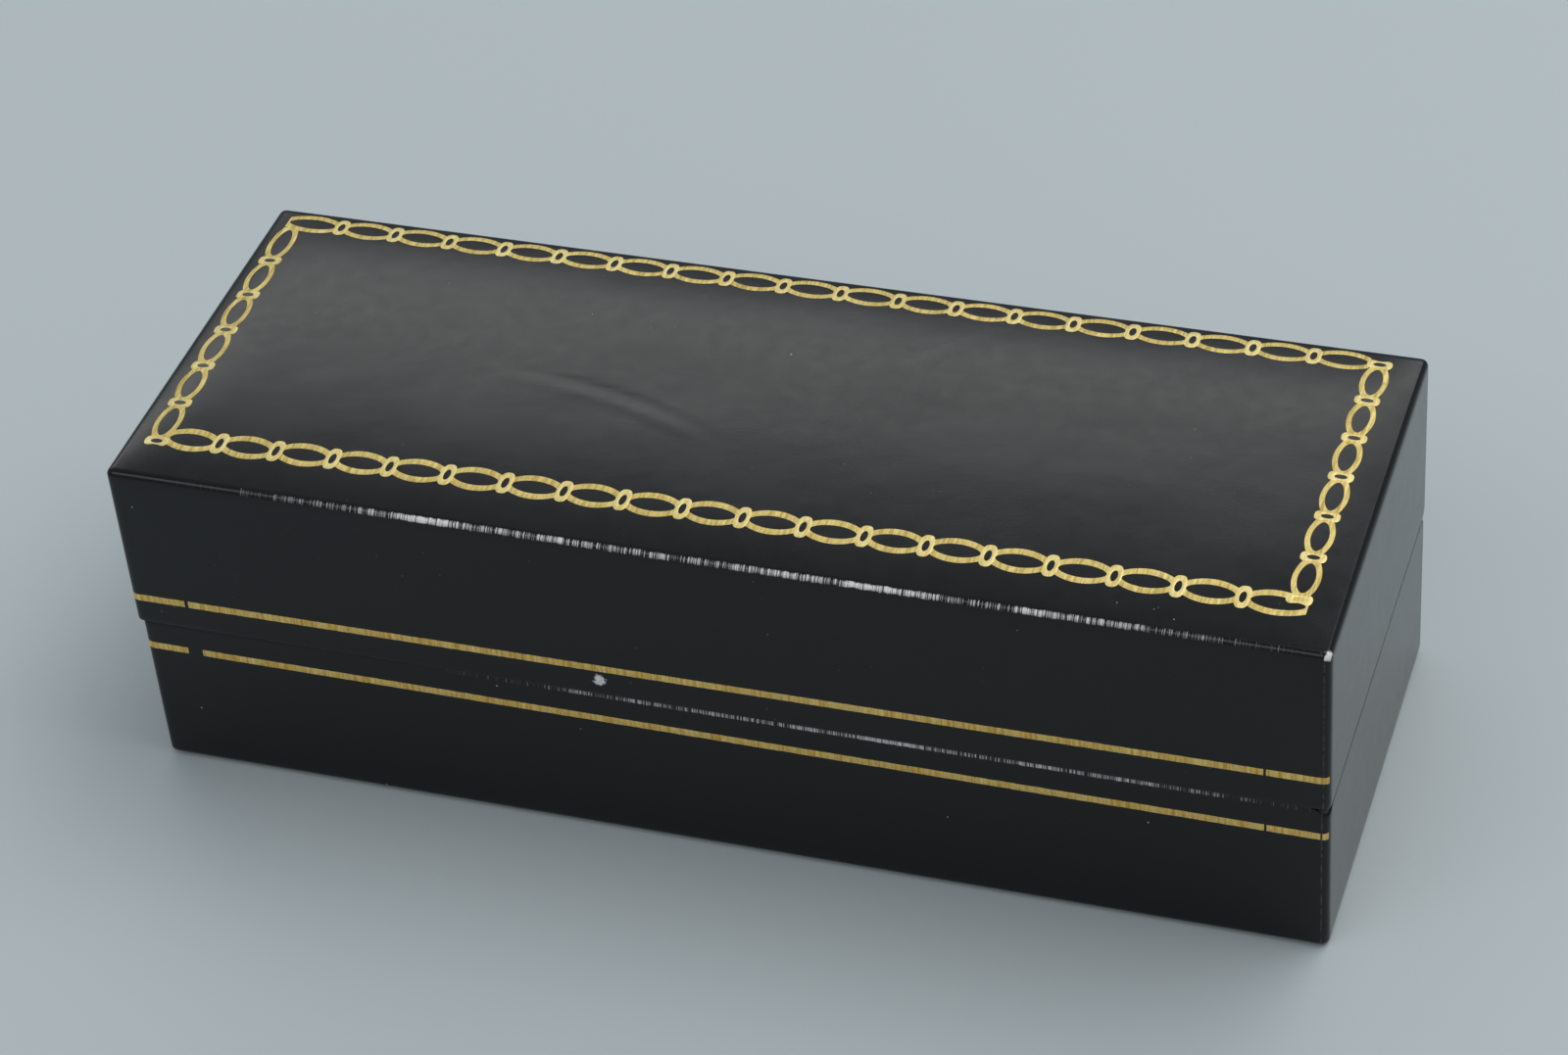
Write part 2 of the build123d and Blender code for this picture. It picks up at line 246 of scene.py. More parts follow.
def pile_cloth(name, dark, light, sheen, coarse=2400.0):
    """Short pile or flock: a fine fuzzy surface with soft patches where the pile leans."""
    n = Nodes(name)
    pile = n.noise(coarse, 3.0, 0.7)
    lean = n.noise(90.0, 3.0, 0.55, 0.6)
    share = n.mixed(pile, lean)
    n.feed(Base_Color=n.blend(n.remap(share, 0.35, 0.65), dark, light))
    n.feed(Roughness=n.remap(pile, 0.3, 0.7, 0.85, 1.0))
    n.feed(Sheen_Weight=sheen, Sheen_Roughness=0.4, Specular_IOR_Level=0.15)
    n.feed(Normal=n.bump(pile, 0.0002, 0.5))
    return n.material


def woven_cloth(name, dark, light, rough, threads, sheen=0.3, shine=0.5):
    """Narrow woven band: threads along and across, and a slow variation of tone."""
    n = Nodes(name)
    warp = n.noise((threads, 0.08 * threads, threads), 2.0, 0.5)
    weft = n.noise((0.08 * threads, threads, threads), 2.0, 0.5)
    weave = n.math("MAXIMUM", warp, weft)
    slow = n.noise(130.0, 4.0, 0.55)
    share = n.mixed(weave, slow, 0.4)
    n.feed(Base_Color=n.blend(n.remap(share, 0.38, 0.66), dark, light))
    n.feed(Roughness=n.remap(weave, 0.3, 0.7, rough + 0.08, rough))
    n.feed(Sheen_Weight=sheen, Sheen_Roughness=0.35, Specular_IOR_Level=shine)
    n.feed(Normal=n.bump(weave, 0.00006, 0.5))
    return n.material


def satin_cloth(name, dark, light):
    """Glossy satin: long floats give fine streaks, and the tone shifts slowly over the cloth."""
    n = Nodes(name)
    floats = n.noise((500.0, 7000.0, 7000.0), 3.0, 0.6)
    slow = n.noise(45.0, 4.0, 0.5)
    share = n.mixed(floats, slow, 0.55)
    n.feed(Base_Color=n.blend(n.remap(share, 0.36, 0.62), dark, light))
    n.feed(Roughness=n.remap(floats, 0.3, 0.7, 0.34, 0.46))
    n.feed(Sheen_Weight=0.35, Sheen_Roughness=0.3, Specular_IOR_Level=0.6)
    n.feed(Normal=n.bump(floats, 0.00003, 0.35))
    return n.material


def sheet_metal(name, colour, rough):
    """Plated sheet steel with fine rolling lines, light handling marks and darker spots."""
    n = Nodes(name)
    lines = n.noise((300.0, 6000.0, 6000.0), 3.0, 0.6)
    marks = n.noise(700.0, 4.0, 0.6)
    dull = tuple(0.55 * c for c in colour)
    n.feed(Base_Color=n.blend(n.remap(marks, 0.55, 0.75), colour, dull))
    n.feed(Roughness=n.remap(lines, 0.3, 0.7, rough - 0.06, rough + 0.10))
    n.feed(Metallic=1.0)
    n.feed(Normal=n.bump(lines, 0.00001, 0.4))
    return n.material


def moulded(name, colour, rough):
    """Plain moulded or cut stock with a faint mottle."""
    n = Nodes(name)
    mottle = n.noise(1500.0, 4.0, 0.6)
    light = tuple(min(1.0, 1.35 * c + 0.002) for c in colour)
    n.feed(Base_Color=n.blend(n.remap(mottle, 0.35, 0.65), colour, light))
    n.feed(Roughness=n.remap(mottle, 0.3, 0.7, rough - 0.05, rough + 0.05))
    n.feed(Normal=n.bump(mottle, 0.00004, 0.4))
    return n.material


def floor_paint():
    """Plain pale surface with a slight variation of tone."""
    n = Nodes("pale_floor")
    slow = n.noise(3.0, 2.0, 0.5)
    n.feed(Base_Color=n.blend(slow, (0.47, 0.52, 0.535), (0.50, 0.55, 0.565)))
    n.feed(Roughness=0.5)
    return n.material


# ------------ mesh helpers

def solid_of(name, verts, faces, material, body, slot, replaced, sharp=50.0, thickness=0.0, faced=1):
    """One piece from points and faces, with its finish, its body and the model's nodes it stands for."""
    mesh = bpy.data.meshes.new(name)
    if faced < 0:
        faces = [tuple(reversed(f)) for f in faces]
    mesh.from_pydata([tuple(v) for v in verts], [], faces)
    work = bmesh.new()
    work.from_mesh(mesh)
    bmesh.ops.remove_doubles(work, verts=work.verts, dist=1e-7)
    bmesh.ops.dissolve_degenerate(work, edges=work.edges, dist=1e-8)
    loose = [v for v in work.verts if not v.link_faces]
    bmesh.ops.delete(work, geom=loose, context="VERTS")
    if not thickness and work.calc_volume(signed=True) < 0:
        bmesh.ops.reverse_faces(work, faces=work.faces)
    work.to_mesh(mesh)
    work.free()
    piece = bpy.data.objects.new(name, mesh)
    bpy.context.scene.collection.objects.link(piece)
    if thickness:
        skin = piece.modifiers.new("skin", "SOLIDIFY")
        skin.thickness, skin.offset = thickness, -1.0
        skin.use_even_offset = False
        apply_modifiers(piece)
    finish_mesh(piece.data, sharp)
    piece.data.materials.clear()
    piece.data.materials.append(material)
    if body:
        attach(piece, body)
    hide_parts(*replaced)
    return piece


def apply_modifiers(piece):
    """Bakes a piece's modifiers into its mesh."""
    bpy.context.view_layer.update()
    done = bpy.data.meshes.new_from_object(piece.evaluated_get(bpy.context.evaluated_depsgraph_get()))
    old = piece.data
    piece.modifiers.clear()
    piece.data = done
    bpy.data.meshes.remove(old)


def finish_mesh(mesh, sharp):
    """Smooth shading, broken only at edges sharper than an angle."""
    for face in mesh.polygons:
        face.use_smooth = True
    mesh.set_sharp_from_angle(angle=math.radians(sharp))


def ruled(marks, step):
    """Sorted marks with even steps filled in between them."""
    marks = sorted(set(round(m, 8) for m in marks))
    out = [marks[0]]
    for low, high in zip(marks, marks[1:]):
        count = max(1, math.ceil((high - low) / step - 1e-6))
        out += [low + (high - low) * (k + 1) / count for k in range(count)]
    return out


def grid_faces(rows, columns, wrap=False):
    """Quads between rows of points; wrap joins the last column to the first."""
    faces = []
    for r in range(rows - 1):
        for c in range(columns if wrap else columns - 1):
            d = (c + 1) % columns
            faces.append((r * columns + c, r * columns + d, (r + 1) * columns + d, (r + 1) * columns + c))
    return faces


def grid_outline(nx, ny):
    """Places of a grid's outline points as (column, row), in order round it."""
    outline = [(i, 0) for i in range(nx)] + [(nx - 1, j) for j in range(1, ny)]
    return outline + [(i, ny - 1) for i in range(nx - 2, -1, -1)] + [(0, j) for j in range(ny - 2, 0, -1)]


def ring_faces(above, below):
    """Quads between two closed rings of point numbers."""
    faces = []
    for c in range(len(above)):
        d = (c + 1) % len(above)
        faces.append((above[c], below[c], below[d], above[d]))
    return faces


def tube_faces(rows, columns):
    """Quads between closed rings of points, and a face over each end."""
    last = (rows - 1) * columns
    ends = [tuple(reversed(range(columns))), tuple(range(last, last + columns))]
    return grid_faces(rows, columns, wrap=True) + ends


def inset_rect(box, distance=0.0, left=0.0, right=0.0):
    """A box's outline drawn in by a distance all round, and further at its left or right end."""
    low, high = box
    return low.x + distance + left, high.x - distance - right, low.y + distance, high.y - distance


def pocket_marks():
    """Ends of the pockets round the hinges, along X."""
    return [centre + side * POCKET_HALF for centre in HINGE_XS for side in (-1, 1)]


def smooth_step(t):
    t = min(1.0, max(0.0, t))
    return t * t * (3 - 2 * t)


def bell(distance, reach):
    """1 at no distance, falling smoothly to 0 a reach away."""
    return 1 - smooth_step(distance / reach)


def wobble(x, y, z, scale, seed=0.0):
    """Smooth noise from -1 to 1 that changes over a length of scale."""
    return noise.noise(Vector((x / scale + seed, y / scale - seed, z / scale + 3 * seed)))


# ------------ paper covers

def crown(x, y, half_x, half_y):
    """Share of the padding's full height over a point of the top, which falls off sooner at the front."""
    share = abs(y / half_y)
    fall = share ** 4 if y > 0 else 0.8 * share ** 2.4 + 0.2 * share ** 9
    return (1 - abs(x / half_x) ** 24) * (1 - fall)


class Wrap:
    """A sheet of paper folded over a box-shaped half: its closed face, the walls, the rim and the turn-in.
    Heights h are counted from the hinge line into the half."""

    fillet_band = 6 * MM        # the grid is squeezed this far in from an outline that is drawn in
    relief_fade = 6 * MM        # the slope of the back rim dies out this far from the rim
    rim_round = 0.25 * MM

    def __init__(self, rect, top, side, padding, step):
        x0, x1, y0, y1 = rect
        self.cx, self.cy = (x0 + x1) / 2, (y0 + y1) / 2
        self.hx, self.hy = (x1 - x0) / 2, (y1 - y0) / 2
        self.top, self.side, self.padding = top, side, padding
        insets = [EDGE_ROUND * (1 - math.cos(math.radians(a))) for a in (45, 60, 75, 90)]
        self.first = insets[0]
        insets += [1.1 * MM, 1.6 * MM, 2.4 * MM, 3.6 * MM, self.fillet_band]
        pockets = [mark - self.cx for mark in pocket_marks()]
        self.xs = ruled([s * (self.hx - d) for d in insets for s in (-1, 1)] + pockets, step)
        self.ys = ruled([s * (self.hy - d) for d in insets for s in (-1, 1)] + [AXIS_Y - self.cy], step * 1.6)
        self.outline = grid_outline(len(self.xs), len(self.ys))

    def squeeze(self, value, half, inset):
        """Moves a coordinate near a corner so that a drawn-in outline keeps its points in order."""
        start = half - self.fillet_band
        if abs(value) <= start:
            return value
        share = (abs(value) - start) / (self.fillet_band - self.first)
        return math.copysign(start + share * (self.fillet_band - inset), value)

    def flat(self, i, j, inset):
        """Place of a grid point, its outline points moved to another inset, with rounded corners."""
        nx, ny = len(self.xs), len(self.ys)
        x, y = self.xs[i], self.ys[j]
        if i in (0, nx - 1) or j in (0, ny - 1):
            x = math.copysign(self.hx - inset, x) if i in (0, nx - 1) else self.squeeze(x, self.hx, inset)
            y = math.copysign(self.hy - inset, y) if j in (0, ny - 1) else self.squeeze(y, self.hy, inset)
        return self.rounded(x, y, inset)

    def rounded(self, x, y, inset):
        """A point of an outline, drawn in where the upright corner is rounded."""
        if inset >= CORNER:
            return x, y
        ex, ey = abs(x) - (self.hx - CORNER), abs(y) - (self.hy - CORNER)
        if ex <= 0 or ey <= 0:
            return x, y
        scale = max(ex, ey) / math.hypot(ex, ey)
        return (math.copysign(self.hx - CORNER + ex * scale, x),
                math.copysign(self.hy - CORNER + ey * scale, y))

    def edge_distance(self, x, y):
        """How far a point lies inside the outline with its rounded corners."""
        ex, ey = abs(x) - (self.hx - CORNER), abs(y) - (self.hy - CORNER)
        if ex > 0 and ey > 0:
            return CORNER - math.hypot(ex, ey)
        return min(self.hx - abs(x), self.hy - abs(y))

    def face_height(self, x, y):
        """Height of the closed face over a point, with its rounded edge and padding."""
        d = min(EDGE_ROUND, max(0.0, self.edge_distance(x, y)))
        height = self.top - self.padding - EDGE_ROUND + math.sqrt(EDGE_ROUND ** 2 - (EDGE_ROUND - d) ** 2)
        return height + self.padding * crown(x, y, self.hx, self.hy)

    def rim_height(self, y):
        """Height of the rim, which rises behind the hinge line to let the lid swing."""
        return max(CLOSING, (y + self.cy - AXIS_Y) * math.tan(RELIEF))

    def wall_point(self, i, j, inset, height):
        """Place of an outline point on a ring, raised with the rim behind the hinge line."""
        x, y = self.flat(i, j, inset)
        share = max(0.0, 1 - (height - CLOSING) / self.relief_fade)
        return x, y, height + (self.rim_height(y) - CLOSING) * share

    def rings(self):
        """Insets and heights of the rings, from the closed face down the walls, round the rim and inside."""
        edge, r = self.top - self.padding, self.rim_round
        rings = [(EDGE_ROUND * (1 - math.cos(a)), edge - EDGE_ROUND + EDGE_ROUND * math.sin(a))
                 for a in (math.radians(30), math.radians(15), 0)]
        rows = ruled([CLOSING + r, CLOSING + 1.5 * MM, CLOSING + 6 * MM, edge - EDGE_ROUND], 1.2 * MM)
        rings += [(0.0, height) for height in reversed(rows[:-1])]
        rings += [(r * (1 - math.cos(a)), CLOSING + r * (1 - math.sin(a)))
                  for a in (math.radians(30), math.radians(60), math.radians(90))]
        self.groove_ring = len(rings)
        axis_inset, inner = self.cy + self.hy - AXIS_Y, PAPER_INSIDE
        groove = 1.2 * MM * math.cos(RELIEF)
        return rings + [(axis_inset - groove, CLOSING), (axis_inset, CLOSING), (inner - 0.15 * MM, CLOSING),
                        (inner, CLOSING + 0.15 * MM), (inner, CLOSING + 2 * MM), (inner, CLOSING + TURN_IN)]

    def build(self):
        """Points and faces: first the grid of the closed face, then the rings from its edge."""
        nx, ny = len(self.xs), len(self.ys)
        verts = []
        for j in range(ny):
            for i in range(nx):
                x, y = self.rounded(self.xs[i], self.ys[j], 0.0)
                verts.append((x, y, self.face_height(x, y)))
        faces = grid_faces(ny, nx)
        previous = [j * nx + i for i, j in self.outline]
        for k, (inset, height) in enumerate(self.rings()):
            current = list(range(len(verts), len(verts) + len(previous)))
            verts += [self.wall_point(i, j, inset, height) for i, j in self.outline]
            for c, face in enumerate(ring_faces(previous, current)):
                if k <= self.groove_ring or not self.in_groove(c):
                    faces.append(face)
            previous = current
        return verts, faces

    def in_groove(self, c):
        """Whether the strip of rim after an outline point lies over a hinge, where the paper is cut away."""
        first, second = self.outline[c], self.outline[(c + 1) % len(self.outline)]
        back = len(self.ys) - 1
        if first[1] != back or second[1] != back:
            return False
        x = (self.xs[first[0]] + self.xs[second[0]]) / 2 + self.cx
        return any(abs(x - centre) < POCKET_HALF for centre in HINGE_XS)

    def place(self, x, y, h):
        """A point in the model's frame."""
        return Vector((x + self.cx, y + self.cy, SEAM + self.side * h))


def crease_depth(x, y):
    """The long faint crease across the lid's top, a shallow step along an arc."""
    centre, radius = Vector((-34 * MM, -62 * MM)), 63 * MM
    if not -40 * MM < x < -3 * MM:
        return 0.0
    fade = bell(abs(x + 20 * MM), 19 * MM)
    off = math.hypot(x - centre.x, y - centre.y) - radius
    return 0.035 * MM * fade * (bell(abs(off), 0.9 * MM) - 0.6 * bell(abs(off + 1.6 * MM), 1.6 * MM))


def front_wave(x, z):
    """How far the paper of a front face stands off its plane."""
    return WAVE * wobble(x, 0, z, 24 * MM, 4.1)


def corner_fold(p):
    """Shift of a base point where the paper is tucked in at the seam's front right corner."""
    beside, below = BASE_COVER[1].x - p.x, SEAM - p.z
    behind = p.y - BASE_COVER[0].y
    drop = 1.1 * MM * bell(math.hypot(beside, behind), 2.2 * MM) * bell(below, 3 * MM)
    fold = 0.16 * MM * bell(abs(beside - 0.8 * MM - 0.9 * below), 0.7 * MM) * bell(below, 4 * MM)
    return Vector((0, fold * bell(behind, 0.8 * MM), -drop))


def lid_top_relief(x, y):
    """Small unevenness of the lid's top, over its crown."""
    return 0.020 * MM * wobble(x, y, 0, 16 * MM, 1.7) - crease_depth(x, y)


def lid_cover():
    """Paper of the lid, with a painted glint and some real wear along its front edge, a scuffed corner and a
    chip beside the gold line.
    """
    wrap = Wrap(inset_rect(COVER, FACE_GAP, right=SHIFT), COVER[1].z - SEAM, 1, CROWN, 0.55 * MM)
    verts, faces = wrap.build()
    grid = len(wrap.xs) * len(wrap.ys)
    front, edge_z = COVER[0].y, COVER[1].z - CROWN
    nick = Vector((0, -0.5, 0.5)) * 0.03 * MM
    out = []
    for k, (x, y, h) in enumerate(verts):
        p = wrap.place(x, y, h)
        if k < grid:
            p.z += lid_top_relief(p.x, p.y) * min(1, wrap.edge_distance(x, y) / (6 * MM))
        front_edge = math.hypot(p.y - front, p.z - edge_z)
        p += nick * bell(front_edge, 0.9 * MM) * wobble(p.x, 0, 0, 0.5 * MM, 0.3)
        p.y += front_wave(p.x, p.z) * bell(abs(p.y - front), 1 * MM)
        out.append(p)
    corner_scuff = ((75.5 * MM, front + 0.4 * MM, edge_z - 0.3 * MM), 1.15 * MM)
    chip = ((-14.0 * MM, front, SEAM + 2.5 * MM), 1.35 * MM)
    # The edge tuple puts a painted glint, partly real wear, along the rounded front top edge.
    material = leatherette("black_leatherette_lid", (front, edge_z, -67 * MM, 77 * MM, 1.0),
                           [corner_scuff, chip], (COVER[1].x - 1.05 * MM, front))
    solid_of("lid_paper", out, faces, material, "lid", "black_leatherette", ["lid_cover"], thickness=SKIN)
    return wrap


def base_cover():
    """Paper of the base, with a painted glint and some real wear along the front of its rim."""
    wrap = Wrap(inset_rect(BASE_COVER, FACE_GAP, left=SHIFT), SEAM - BASE_COVER[0].z, -1, 0.0, 0.8 * MM)
    verts, faces = wrap.build()
    front = BASE_COVER[0].y
    out = []
    for x, y, h in verts:
        p = wrap.place(x, y, h)
        p.y += front_wave(p.x, p.z) * bell(abs(p.y - front), 1 * MM)
        out.append(p + corner_fold(p))
    # The edge tuple puts a painted glint, partly real wear, along the front of the base's rim.
    material = leatherette("black_leatherette_base", (front, SEAM - CLOSING, -35 * MM, 79 * MM, 0.8), [],
                           (BASE_COVER[1].x - 0.95 * MM, front))
    solid_of("base_paper", out, faces, material, "base", "black_leatherette", ["base_cover"],
             thickness=SKIN, faced=-1)
    return wrap


# ------------ gold foil

LINK_PITCH = 7.55 * MM
LINK_END = 0.62 * MM            # from a knot's middle to the blunt end of the next link
LINE_HALF = 0.50 * MM           # half the width of the ruled lines
# Cross section of a foil stroke, as shares of the way across it and of its height
FOIL_SECTION = ((0.0, -1.0), (0.0, 0.55), (0.22, 1.0), (0.78, 1.0), (1.0, 0.55), (1.0, -1.0))


def arc_points(half_length, rise, base, count):
    """Points of a flat arc from one end to the other, base high at its ends and base + rise in its middle."""
    radius = (half_length ** 2 + rise ** 2) / (2 * rise)
    xs = [half_length * math.cos(math.pi * k / count) for k in range(count + 1)]
    return [(x, base + math.sqrt(radius ** 2 - x ** 2) - (radius - rise)) for x in xs]


def oval(half_length, half_width, squareness, count):
    """Points round an oval; squareness 2 is an ellipse, and more fills its corners out."""
    points = []
    for k in range(count):
        c, s = math.cos(2 * math.pi * k / count), math.sin(2 * math.pi * k / count)
        points.append((half_length * math.copysign(abs(c) ** (2 / squareness), c),
                       half_width * math.copysign(abs(s) ** (2 / squareness), s)))
    return points


def link_loops(pitch, half_width, stroke, opening_end, count=24):
    """Outer and inner loops of one link, point for point, about its middle."""
    end_width = 0.56 * half_width
    half = arc_points(pitch / 2 - LINK_END, half_width - end_width, end_width, count)[:-1]
    outer = half + [(-pitch / 2 + LINK_END, end_width)]
    outer += [(-x, -y) for x, y in outer]
    inner = oval(pitch / 2 - opening_end, half_width - stroke, 1.85, 2 * count)
    inner = inner[:count + 1] + [inner[count]] + inner[count + 1:] + [inner[0]]
    return outer, inner


def knot_loops(half_length, half_width, waist, count=48):
    """Outer and inner loops of a ring knot; waist is how far its middle is drawn in, along the run."""
    outer = oval(half_length, half_width, 2.7, count)
    inner = oval((0.46 - 0.25 * waist) * half_length, 0.50 * half_width, 2.0, count)
    pinch = [1 - waist * bell(abs(y) / half_width, 0.95) for x, y in outer]
    return [(x * share, y) for share, (x, y) in zip(pinch, outer)], inner


def foil_ring(loops, place, height, verts, faces):
    """Adds one closed band of foil between two loops, its upper face slightly domed."""
    outer, inner = loops
    count, section, start = len(outer), len(FOIL_SECTION), len(verts)
    for (ox, oy), (ix, iy) in zip(outer, inner):
        for share, rise in FOIL_SECTION:
            lift = rise * height if rise > 0 else -0.05 * MM
            verts.append(place(ox + (ix - ox) * share, oy + (iy - oy) * share, lift))
    for k in range(count):
        a, b = start + section * k, start + section * ((k + 1) % count)
        for s in range(section):
            t = (s + 1) % section
            faces.append((a + s, b + s, b + t, a + t))


# Links as half width, stroke and how far the opening ends before a knot's middle; knots as half length,
# half width and waist
FRONT_RUN = {"link": (2.10 * MM, 0.98 * MM, 0.85 * MM), "knot": (0.92 * MM, 1.90 * MM, 0.0)}
BACK_RUN = {"link": (1.90 * MM, 0.85 * MM, 0.85 * MM), "knot": (0.95 * MM, 1.70 * MM, 0.0)}
SIDE_RUN = {"link": (1.68 * MM, 0.64 * MM, 1.10 * MM), "knot": (1.05 * MM, 1.55 * MM, 0.38)}


def border_runs():
    """The four runs of the chain as start, end, how far the middle strays, whether a knot stands at each end,
    and the sizes of its shapes."""
    left, right = COVER[0].x + 4.2 * MM, COVER[1].x - 5.8 * MM
    front, back = COVER[0].y + 7.4 * MM, COVER[1].y - 3.05 * MM
    stray, none = (-0.5 * MM, 0.9 * MM), (0, 0)
    return [
        ((left + 0.6 * MM, front + 0.3 * MM), (right + 1.3 * MM, front - 0.1 * MM), stray, False, False,
         FRONT_RUN),
        ((right, front + 1.15 * MM), (right, back), none, True, True, SIDE_RUN),
        ((right - 0.6 * MM, back), (left - 1.9 * MM, back), none, False, False, BACK_RUN),
        ((left, front - 0.6 * MM), (left - 0.9 * MM, back - 1.3 * MM), none, True, False, SIDE_RUN),
    ]


def gold_border(wrap):
    """Chain of pointed links and ring knots, stamped on the crowned top."""
    links, knots = ([], []), ([], [])
    random.seed(7)
    for *ends, knot_first, knot_last, shape in border_runs():
        start, end, stray = (Vector(point) for point in ends)
        count = round((end - start).length / LINK_PITCH)
        pitch = (end - start).length / count
        ahead = (end - start).normalized()
        across = Vector((-ahead.y, ahead.x))

        def along(share):
            return start.lerp(end, share) + stray * (4 * share * (1 - share))

        def on_lid(middle):
            def place(dx, dy, lift):
                x, y = middle + ahead * dx + across * dy
                height = SEAM + wrap.face_height(x - wrap.cx, y - wrap.cy) + lid_top_relief(x, y)
                return x, y, height + lift
            return place

        for k in range(count):
            slip = across * random.uniform(-0.05, 0.05) * MM
            middle = along((k + 0.5) / count) + slip
            loops = link_loops(pitch, *shape["link"])
            if k == count - 1 and not knot_last:
                loops = [[(x * 1.2 if x > 0 else x, y) for x, y in loop] for loop in loops]
            foil_ring(loops, on_lid(middle), 0.03 * MM, *links)
        for k in range(0 if knot_first else 1, count + 1 if knot_last else count):
            foil_ring(knot_loops(*shape["knot"]), on_lid(along(k / count)), 0.06 * MM, *knots)
    chain = gold_foil("gold_foil_links", (0.48, 0.34, 0.075), (0.98, 0.78, 0.30))
    solid_of("lid_chain_links", *links, chain, "lid", "gold_foil", ["lid_gold_border"], sharp=60)
    bright = gold_foil("gold_foil_knots", (0.72, 0.54, 0.17), (1.0, 0.86, 0.40), 0.3)
    solid_of("lid_chain_knots", *knots, bright, "lid", "gold_foil", ["lid_gold_border"], sharp=60)


def gold_line(name, node, body, wrap, ends, bare):
    """Ruled line on a front face, turned a little way round its corners, and bare between pairs of x.
    ends are the heights of its middle at the left and the right."""
    bare = [(first - wrap.cx, last - wrap.cx) for first, last in bare]
    reach = wrap.hx - 0.18 * MM
    inner = reach - 1.2 * MM
    marks = set(ruled([-reach, -inner, inner, reach] + [x for pair in bare for x in pair], 0.5 * MM))
    corner = {inner + (reach - inner) * k / 8 for k in range(1, 8)}
    marks = sorted(marks | corner | {-c for c in corner})
    verts, faces, previous = [], [], None
    for x0, x1 in zip(marks, marks[1:]):
        if any(a < (x0 + x1) / 2 < b for a, b in bare):
            if previous:
                faces.append(tuple(reversed(previous)))
            previous = None
            continue
        if not previous:
            previous = line_section(verts, x0, wrap, ends)
            faces.append(tuple(previous))
        current = line_section(verts, x1, wrap, ends)
        faces += ring_faces(previous, current)
        previous = current
    faces.append(tuple(reversed(previous)))
    material = gold_foil(name + "_gold", (0.62, 0.33, 0.040), (1.0, 0.77, 0.29))
    solid_of(name, verts, faces, material, body, "gold_foil", [node], sharp=60)


def line_section(verts, x, wrap, ends):
    """Six points of the line's cross section at x, its edges a little uneven."""
    middle = ends[0] + (ends[1] - ends[0]) * (x + wrap.hx) / (2 * wrap.hx)
    up = LINE_HALF + 0.05 * MM * wobble(x, 0, middle, 0.7 * MM, 2.0)
    down = LINE_HALF + 0.05 * MM * wobble(x, 0, middle, 0.7 * MM, 9.0)
    into = max(0.0, abs(x) - (wrap.hx - CORNER))
    turned = CORNER - math.sqrt(max(0.0, CORNER ** 2 - into ** 2))
    outward = Vector((math.copysign(into, x), -(CORNER - turned))).normalized()
    start = len(verts)
    for z, out in ((-down, -0.06), (-down, 0.015), (-0.6 * down, 0.03),
                   (0.6 * up, 0.03), (up, 0.015), (up, -0.06)):
        y = wrap.cy - wrap.hy + turned + front_wave(wrap.cx + x, middle + z)
        verts.append((wrap.cx + x + outward.x * out * MM, y + outward.y * out * MM, middle + z))
    return list(range(start, start + 6))


# ------------ soft pieces

def white_foam(name):
    return moulded("white_foam_" + name, (0.62, 0.61, 0.57), 0.9)


def skin_over(name, rect, low, height, material, body, slot, replaced, side, step, thickness, xs=(), ys=()):
    """Cloth or foam over a rectangle: a height field with sides down to low. side is -1 where it faces down.
    height(x, y, d) gives the face at a point that lies d inside the rectangle's outline."""
    x0, x1, y0, y1 = rect
    marks = (0.0, 0.25 * MM, 0.6 * MM, 1.1 * MM, 1.8 * MM, 3 * MM)
    gx = ruled([x0 + d for d in marks] + [x1 - d for d in marks] + list(xs), step)
    gy = ruled([y0 + d for d in marks] + [y1 - d for d in marks] + list(ys), step)
    nx, ny = len(gx), len(gy)
    verts = []
    for y in gy:
        for x in gx:
            d = min(x - x0, x1 - x, y - y0, y1 - y)
            verts.append((x, y, height(x, y, d)))
    faces = grid_faces(ny, nx)
    rings = [[j * nx + i for i, j in grid_outline(nx, ny)]]
    for share in (0.35, 0.7, 1.0):
        ring = []
        for k in rings[0]:
            x, y, z = verts[k]
            ring.append(len(verts))
            verts.append((x, y, z + (low - z) * share))
        rings.append(ring)
    for above, below in zip(rings, rings[1:]):
        faces += ring_faces(above, below)
    if not thickness:
        faces.append(tuple(reversed(rings[-1])))
    return solid_of(name, verts, faces, material, body, slot, replaced, sharp=70, thickness=thickness,
                    faced=side)


def insert_height(top, drop):
    """Face of the base's insert: rounded edges, a slight crown, grooves under the straps, pinched slits."""
    x0, x1, y0, y1 = inset_rect(INSERT)

    def height(x, y, d):
        r = 1.7 * MM
        z = top - 0.30 * MM * (abs(x / x1) ** 4 + abs(y / y1) ** 4) / 2
        if d < r:
            z -= r - math.sqrt(max(0.0, r * r - (r - d) ** 2))
        for low, high in STRAP_BOXES:
            beside = max(0.0, low.x - x, x - high.x)
            beyond = max(0.0, low.y - y, y - high.y)
            z -= 0.35 * MM * bell(math.hypot(beside, beyond), 3.2 * MM)
            slit = min(abs(y - low.y), abs(y - high.y))
            z -= 1.9 * MM * bell(math.hypot(slit, beside), 1.5 * MM)
        z += 0.10 * MM * wobble(x, y, 0, 17 * MM, 2.6) * min(1, d / (4 * MM))
        return z - drop

    return height


